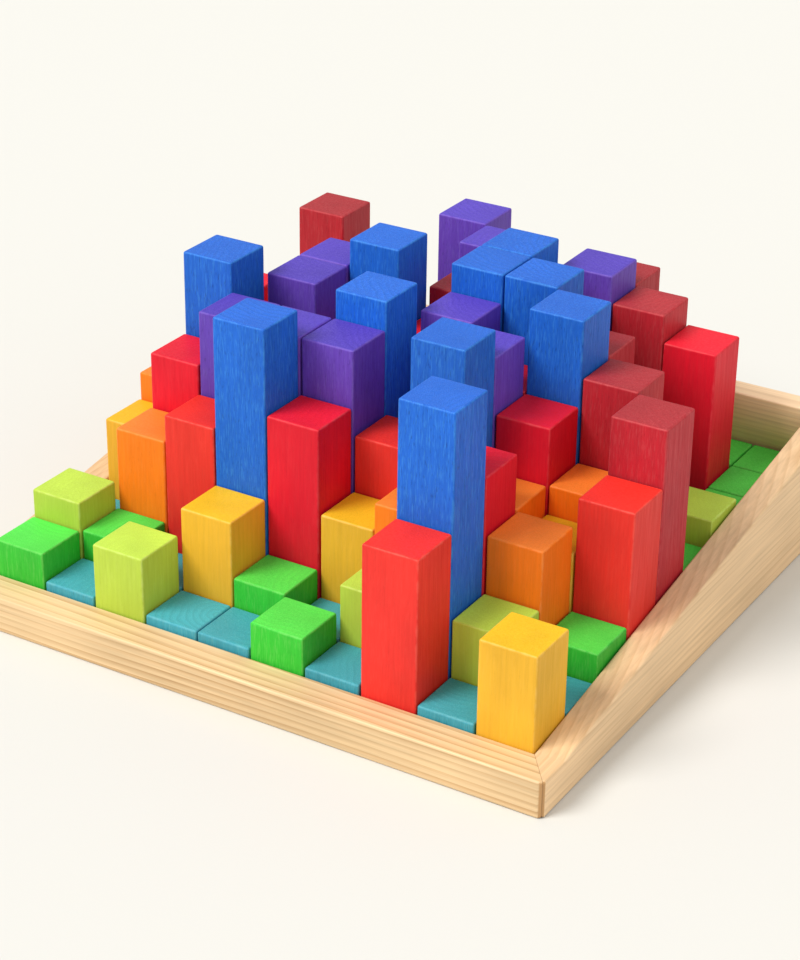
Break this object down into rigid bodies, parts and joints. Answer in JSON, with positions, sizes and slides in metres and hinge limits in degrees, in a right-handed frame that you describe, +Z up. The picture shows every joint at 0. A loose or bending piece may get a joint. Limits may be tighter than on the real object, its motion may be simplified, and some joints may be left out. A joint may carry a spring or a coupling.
{
  "type": "stepped wooden block set",
  "caption": "Square stained wooden blocks in stepped lengths, standing on end close together in an open pine tray with wedge-shaped side rails.",
  "frame": {"origin": "on the ground under the middle of the tray", "axes": "+X along the low front rail, +Y back towards the tall rear rail, +Z up"},
  "size_m": [0.451, 0.457, 0.2108],
  "materials": {
    "pine": "satin",
    "teal_stain": "satin",
    "green_stain": "satin",
    "lime_stain": "satin",
    "yellow_stain": "satin",
    "orange_stain": "satin",
    "vermilion_stain": "satin",
    "crimson_stain": "satin",
    "burgundy_stain": "satin",
    "violet_stain": "satin",
    "blue_stain": "satin"
  },
  "bodies": {
    "tray": {"front_rail": "pine", "rear_rail": "pine", "left_rail": "pine", "right_rail": "pine", "base_panel": "pine"},
    "blue_block_row2_col8": {"blue_block_row2_col8": "blue_stain"},
    "blue_block_row3_col4": {"blue_block_row3_col4": "blue_stain"},
    "blue_block_row4_col7": {"blue_block_row4_col7": "blue_stain"},
    "blue_block_row5_col2": {"blue_block_row5_col2": "blue_stain"},
    "blue_block_row5_col5": {"blue_block_row5_col5": "blue_stain"},
    "blue_block_row6_col8": {"blue_block_row6_col8": "blue_stain"},
    "blue_block_row7_col4": {"blue_block_row7_col4": "blue_stain"},
    "blue_blocks_corner": {"blue_blocks_corner": "blue_stain"},
    "burgundy_and_lime_blocks": {"burgundy_and_lime_blocks": "burgundy_stain"},
    "burgundy_block_row10_col1": {"burgundy_block_row10_col1": "burgundy_stain"},
    "burgundy_block_row5_col10": {"burgundy_block_row5_col10": "burgundy_stain"},
    "burgundy_block_row6_col9": {"burgundy_block_row6_col9": "burgundy_stain"},
    "burgundy_block_row9_col8": {"burgundy_block_row9_col8": "burgundy_stain"},
    "crimson_block_row3_col5": {"crimson_block_row3_col5": "crimson_stain"},
    "crimson_block_row3_col8": {"crimson_block_row3_col8": "crimson_stain"},
    "crimson_block_row4_col2": {"crimson_block_row4_col2": "crimson_stain"},
    "crimson_block_row5_col8": {"crimson_block_row5_col8": "crimson_stain"},
    "crimson_block_row9_col9": {"crimson_block_row9_col9": "crimson_stain"},
    "green_and_teal_blocks_left": {"green_and_teal_blocks_left": "green_stain"},
    "green_and_teal_blocks_middle": {"green_and_teal_blocks_middle": "green_stain"},
    "green_block_row1_col1": {"green_block_row1_col1": "green_stain"},
    "green_block_row1_col6": {"green_block_row1_col6": "green_stain"},
    "green_block_row3_col10": {"green_block_row3_col10": "green_stain"},
    "left_middle_blocks": {"left_middle_blocks": "crimson_stain"},
    "left_rear_blocks": {"left_rear_blocks": "vermilion_stain"},
    "lime_and_teal_blocks": {"lime_and_teal_blocks": "lime_stain"},
    "lime_block_row1_col3": {"lime_block_row1_col3": "lime_stain"},
    "lime_block_row2_col7": {"lime_block_row2_col7": "lime_stain"},
    "lime_block_row2_col9": {"lime_block_row2_col9": "lime_stain"},
    "middle_rear_blocks": {"middle_rear_blocks": "burgundy_stain"},
    "orange_and_yellow_blocks": {"orange_and_yellow_blocks": "orange_stain"},
    "orange_block_row3_col2": {"orange_block_row3_col2": "orange_stain"},
    "orange_block_row3_col7": {"orange_block_row3_col7": "orange_stain"},
    "orange_block_row4_col8": {"orange_block_row4_col8": "orange_stain"},
    "orange_block_row5_col9": {"orange_block_row5_col9": "orange_stain"},
    "right_rear_blocks": {"right_rear_blocks": "green_stain"},
    "teal_block_row1_col2": {"teal_block_row1_col2": "teal_stain"},
    "teal_block_row1_col7": {"teal_block_row1_col7": "teal_stain"},
    "teal_block_row1_col9": {"teal_block_row1_col9": "teal_stain"},
    "teal_block_row2_col10": {"teal_block_row2_col10": "teal_stain"},
    "teal_blocks_front": {"teal_blocks_front": "teal_stain"},
    "vermilion_and_orange_blocks": {"vermilion_and_orange_blocks": "orange_stain"},
    "vermilion_block_row1_col8": {"vermilion_block_row1_col8": "vermilion_stain"},
    "vermilion_block_row3_col3": {"vermilion_block_row3_col3": "vermilion_stain"},
    "vermilion_block_row4_col10": {"vermilion_block_row4_col10": "vermilion_stain"},
    "violet_and_crimson_blocks": {"violet_and_crimson_blocks": "violet_stain"},
    "violet_block_row10_col4": {"violet_block_row10_col4": "violet_stain"},
    "violet_block_row6_col6": {"violet_block_row6_col6": "violet_stain"},
    "violet_block_row9_col7": {"violet_block_row9_col7": "violet_stain"},
    "violet_blocks_left": {"violet_blocks_left": "violet_stain"},
    "violet_blocks_row": {"violet_blocks_row": "violet_stain"},
    "yellow_block_row1_col10": {"yellow_block_row1_col10": "yellow_stain"},
    "yellow_block_row2_col4": {"yellow_block_row2_col4": "yellow_stain"},
    "yellow_block_row3_col6": {"yellow_block_row3_col6": "yellow_stain"},
    "yellow_block_row4_col1": {"yellow_block_row4_col1": "yellow_stain"}
  },
  "joints": [
    {"name": "blue_block_row2_col8_lift", "type": "slide", "parent": "tray", "child": "blue_block_row2_col8", "axis": [0, 0, 1], "range_m": [0, 0.21]},
    {"name": "blue_block_row3_col4_lift", "type": "slide", "parent": "tray", "child": "blue_block_row3_col4", "axis": [0, 0, 1], "range_m": [0, 0.21]},
    {"name": "blue_block_row4_col7_lift", "type": "slide", "parent": "tray", "child": "blue_block_row4_col7", "axis": [0, 0, 1], "range_m": [0, 0.21]},
    {"name": "blue_block_row5_col2_lift", "type": "slide", "parent": "tray", "child": "blue_block_row5_col2", "axis": [0, 0, 1], "range_m": [0, 0.21]},
    {"name": "blue_block_row5_col5_lift", "type": "slide", "parent": "tray", "child": "blue_block_row5_col5", "axis": [0, 0, 1], "range_m": [0, 0.21]},
    {"name": "blue_block_row6_col8_lift", "type": "slide", "parent": "tray", "child": "blue_block_row6_col8", "axis": [0, 0, 1], "range_m": [0, 0.21]},
    {"name": "blue_block_row7_col4_lift", "type": "slide", "parent": "tray", "child": "blue_block_row7_col4", "axis": [0, 0, 1], "range_m": [0, 0.21]},
    {"name": "blue_blocks_corner_lift", "type": "slide", "parent": "tray", "child": "blue_blocks_corner", "axis": [0, 0, 1], "range_m": [0, 0.21]},
    {"name": "burgundy_and_lime_blocks_lift", "type": "slide", "parent": "tray", "child": "burgundy_and_lime_blocks", "axis": [0, 0, 1], "range_m": [0, 0.21]},
    {"name": "burgundy_block_row10_col1_lift", "type": "slide", "parent": "tray", "child": "burgundy_block_row10_col1", "axis": [0, 0, 1], "range_m": [0, 0.21]},
    {"name": "burgundy_block_row5_col10_lift", "type": "slide", "parent": "tray", "child": "burgundy_block_row5_col10", "axis": [0, 0, 1], "range_m": [0, 0.21]},
    {"name": "burgundy_block_row6_col9_lift", "type": "slide", "parent": "tray", "child": "burgundy_block_row6_col9", "axis": [0, 0, 1], "range_m": [0, 0.21]},
    {"name": "burgundy_block_row9_col8_lift", "type": "slide", "parent": "tray", "child": "burgundy_block_row9_col8", "axis": [0, 0, 1], "range_m": [0, 0.21]},
    {"name": "crimson_block_row3_col5_lift", "type": "slide", "parent": "tray", "child": "crimson_block_row3_col5", "axis": [0, 0, 1], "range_m": [0, 0.21]},
    {"name": "crimson_block_row3_col8_lift", "type": "slide", "parent": "tray", "child": "crimson_block_row3_col8", "axis": [0, 0, 1], "range_m": [0, 0.21]},
    {"name": "crimson_block_row4_col2_lift", "type": "slide", "parent": "tray", "child": "crimson_block_row4_col2", "axis": [0, 0, 1], "range_m": [0, 0.21]},
    {"name": "crimson_block_row5_col8_lift", "type": "slide", "parent": "tray", "child": "crimson_block_row5_col8", "axis": [0, 0, 1], "range_m": [0, 0.21]},
    {"name": "crimson_block_row9_col9_lift", "type": "slide", "parent": "tray", "child": "crimson_block_row9_col9", "axis": [0, 0, 1], "range_m": [0, 0.21]},
    {"name": "green_and_teal_blocks_left_lift", "type": "slide", "parent": "tray", "child": "green_and_teal_blocks_left", "axis": [0, 0, 1], "range_m": [0, 0.21]},
    {"name": "green_and_teal_blocks_middle_lift", "type": "slide", "parent": "tray", "child": "green_and_teal_blocks_middle", "axis": [0, 0, 1], "range_m": [0, 0.21]},
    {"name": "green_block_row1_col1_lift", "type": "slide", "parent": "tray", "child": "green_block_row1_col1", "axis": [0, 0, 1], "range_m": [0, 0.21]},
    {"name": "green_block_row1_col6_lift", "type": "slide", "parent": "tray", "child": "green_block_row1_col6", "axis": [0, 0, 1], "range_m": [0, 0.21]},
    {"name": "green_block_row3_col10_lift", "type": "slide", "parent": "tray", "child": "green_block_row3_col10", "axis": [0, 0, 1], "range_m": [0, 0.21]},
    {"name": "left_middle_blocks_lift", "type": "slide", "parent": "tray", "child": "left_middle_blocks", "axis": [0, 0, 1], "range_m": [0, 0.21]},
    {"name": "left_rear_blocks_lift", "type": "slide", "parent": "tray", "child": "left_rear_blocks", "axis": [0, 0, 1], "range_m": [0, 0.21]},
    {"name": "lime_and_teal_blocks_lift", "type": "slide", "parent": "tray", "child": "lime_and_teal_blocks", "axis": [0, 0, 1], "range_m": [0, 0.21]},
    {"name": "lime_block_row1_col3_lift", "type": "slide", "parent": "tray", "child": "lime_block_row1_col3", "axis": [0, 0, 1], "range_m": [0, 0.21]},
    {"name": "lime_block_row2_col7_lift", "type": "slide", "parent": "tray", "child": "lime_block_row2_col7", "axis": [0, 0, 1], "range_m": [0, 0.21]},
    {"name": "lime_block_row2_col9_lift", "type": "slide", "parent": "tray", "child": "lime_block_row2_col9", "axis": [0, 0, 1], "range_m": [0, 0.21]},
    {"name": "middle_rear_blocks_lift", "type": "slide", "parent": "tray", "child": "middle_rear_blocks", "axis": [0, 0, 1], "range_m": [0, 0.21]},
    {"name": "orange_and_yellow_blocks_lift", "type": "slide", "parent": "tray", "child": "orange_and_yellow_blocks", "axis": [0, 0, 1], "range_m": [0, 0.21]},
    {"name": "orange_block_row3_col2_lift", "type": "slide", "parent": "tray", "child": "orange_block_row3_col2", "axis": [0, 0, 1], "range_m": [0, 0.21]},
    {"name": "orange_block_row3_col7_lift", "type": "slide", "parent": "tray", "child": "orange_block_row3_col7", "axis": [0, 0, 1], "range_m": [0, 0.21]},
    {"name": "orange_block_row4_col8_lift", "type": "slide", "parent": "tray", "child": "orange_block_row4_col8", "axis": [0, 0, 1], "range_m": [0, 0.21]},
    {"name": "orange_block_row5_col9_lift", "type": "slide", "parent": "tray", "child": "orange_block_row5_col9", "axis": [0, 0, 1], "range_m": [0, 0.21]},
    {"name": "right_rear_blocks_lift", "type": "slide", "parent": "tray", "child": "right_rear_blocks", "axis": [0, 0, 1], "range_m": [0, 0.21]},
    {"name": "teal_block_row1_col2_lift", "type": "slide", "parent": "tray", "child": "teal_block_row1_col2", "axis": [0, 0, 1], "range_m": [0, 0.21]},
    {"name": "teal_block_row1_col7_lift", "type": "slide", "parent": "tray", "child": "teal_block_row1_col7", "axis": [0, 0, 1], "range_m": [0, 0.21]},
    {"name": "teal_block_row1_col9_lift", "type": "slide", "parent": "tray", "child": "teal_block_row1_col9", "axis": [0, 0, 1], "range_m": [0, 0.21]},
    {"name": "teal_block_row2_col10_lift", "type": "slide", "parent": "tray", "child": "teal_block_row2_col10", "axis": [0, 0, 1], "range_m": [0, 0.21]},
    {"name": "teal_blocks_front_lift", "type": "slide", "parent": "tray", "child": "teal_blocks_front", "axis": [0, 0, 1], "range_m": [0, 0.21]},
    {"name": "vermilion_and_orange_blocks_lift", "type": "slide", "parent": "tray", "child": "vermilion_and_orange_blocks", "axis": [0, 0, 1], "range_m": [0, 0.21]},
    {"name": "vermilion_block_row1_col8_lift", "type": "slide", "parent": "tray", "child": "vermilion_block_row1_col8", "axis": [0, 0, 1], "range_m": [0, 0.21]},
    {"name": "vermilion_block_row3_col3_lift", "type": "slide", "parent": "tray", "child": "vermilion_block_row3_col3", "axis": [0, 0, 1], "range_m": [0, 0.21]},
    {"name": "vermilion_block_row4_col10_lift", "type": "slide", "parent": "tray", "child": "vermilion_block_row4_col10", "axis": [0, 0, 1], "range_m": [0, 0.21]},
    {"name": "violet_and_crimson_blocks_lift", "type": "slide", "parent": "tray", "child": "violet_and_crimson_blocks", "axis": [0, 0, 1], "range_m": [0, 0.21]},
    {"name": "violet_block_row10_col4_lift", "type": "slide", "parent": "tray", "child": "violet_block_row10_col4", "axis": [0, 0, 1], "range_m": [0, 0.21]},
    {"name": "violet_block_row6_col6_lift", "type": "slide", "parent": "tray", "child": "violet_block_row6_col6", "axis": [0, 0, 1], "range_m": [0, 0.21]},
    {"name": "violet_block_row9_col7_lift", "type": "slide", "parent": "tray", "child": "violet_block_row9_col7", "axis": [0, 0, 1], "range_m": [0, 0.21]},
    {"name": "violet_blocks_left_lift", "type": "slide", "parent": "tray", "child": "violet_blocks_left", "axis": [0, 0, 1], "range_m": [0, 0.21]},
    {"name": "violet_blocks_row_lift", "type": "slide", "parent": "tray", "child": "violet_blocks_row", "axis": [0, 0, 1], "range_m": [0, 0.21]},
    {"name": "yellow_block_row1_col10_lift", "type": "slide", "parent": "tray", "child": "yellow_block_row1_col10", "axis": [0, 0, 1], "range_m": [0, 0.21]},
    {"name": "yellow_block_row2_col4_lift", "type": "slide", "parent": "tray", "child": "yellow_block_row2_col4", "axis": [0, 0, 1], "range_m": [0, 0.21]},
    {"name": "yellow_block_row3_col6_lift", "type": "slide", "parent": "tray", "child": "yellow_block_row3_col6", "axis": [0, 0, 1], "range_m": [0, 0.21]},
    {"name": "yellow_block_row4_col1_lift", "type": "slide", "parent": "tray", "child": "yellow_block_row4_col1", "axis": [0, 0, 1], "range_m": [0, 0.21]}
  ]
}
